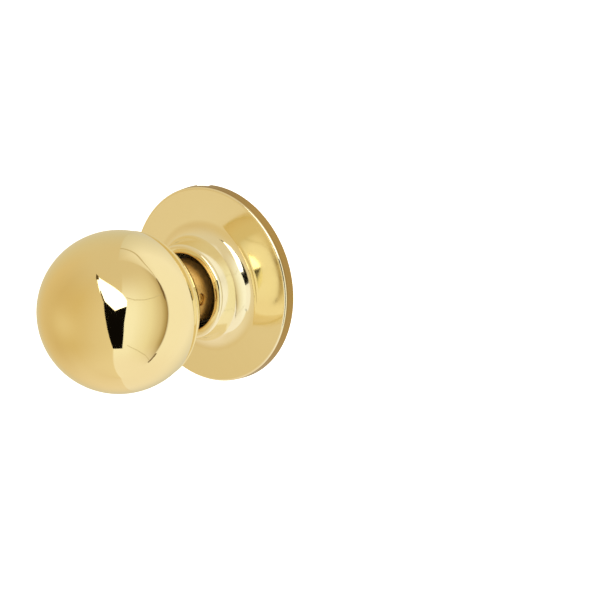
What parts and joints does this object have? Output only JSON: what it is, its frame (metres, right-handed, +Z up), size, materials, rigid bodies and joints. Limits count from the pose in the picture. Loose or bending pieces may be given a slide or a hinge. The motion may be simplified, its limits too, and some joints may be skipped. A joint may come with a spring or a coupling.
{
  "type": "passage door knob",
  "caption": "Round ball door knob on a round rose with a raised collar, sprung to its centre, with a square spindle and tapped fixing posts for one side of a door.",
  "frame": {"origin": "centre of the rose's back plane, which lies on the door's face, on the knob and spindle axis", "axes": "+Y into the door along the spindle, -Y towards the ball, +Z up, +X to the right seen from in front of the door"},
  "size_m": [0.066, 0.1036, 0.066],
  "materials": {
    "polished_brass": "polished and lacquered",
    "shank_brass": "drawn, lightly polished",
    "catch_brass": "machined",
    "plated_steel": "zinc plated",
    "spring_steel": "drawn and oiled",
    "black_steel": "black oxide",
    "sintered_bronze": "sintered, oil filled",
    "cast_zinc": "as die cast",
    "acetal": "moulded"
  },
  "bodies": {
    "chassis": {"rose": "polished_brass", "mounting_plate": "plated_steel", "rose_clips": "spring_steel", "hub_tube": "plated_steel", "hub_bush": "sintered_bronze", "fixing_posts": "plated_steel", "spring_cup": "plated_steel", "cup_rivets": "plated_steel", "return_spring": "spring_steel", "thrust_washer": "plated_steel"},
    "knob": {"knob_front_shell": "polished_brass", "knob_back_shell": "polished_brass", "shell_band": "plated_steel", "knob_shank": "shank_brass", "spindle_sleeve": "plated_steel", "retaining_ring": "spring_steel", "drive_cam": "black_steel", "spindle_insert": "cast_zinc", "spindle_bar": "plated_steel", "spindle_pin": "plated_steel", "catch_carrier": "acetal", "catch_spring": "spring_steel"},
    "catch": {"knob_catch": "catch_brass"}
  },
  "joints": [
    {"name": "knob_turn", "type": "hinge", "parent": "chassis", "child": "knob", "pos_m": [0, 0, 0], "axis": [0, 1, 0], "range_deg": [-60, 60], "stiffness_Nm_per_rad": 0.5, "deforming": ["return_spring"]},
    {"name": "catch_press", "type": "slide", "parent": "knob", "child": "catch", "axis": [-1, 0, 0], "range_m": [0, 0.002], "stiffness_N_per_m": 300, "springref_m": -0.003, "deforming": ["catch_spring"]}
  ]
}
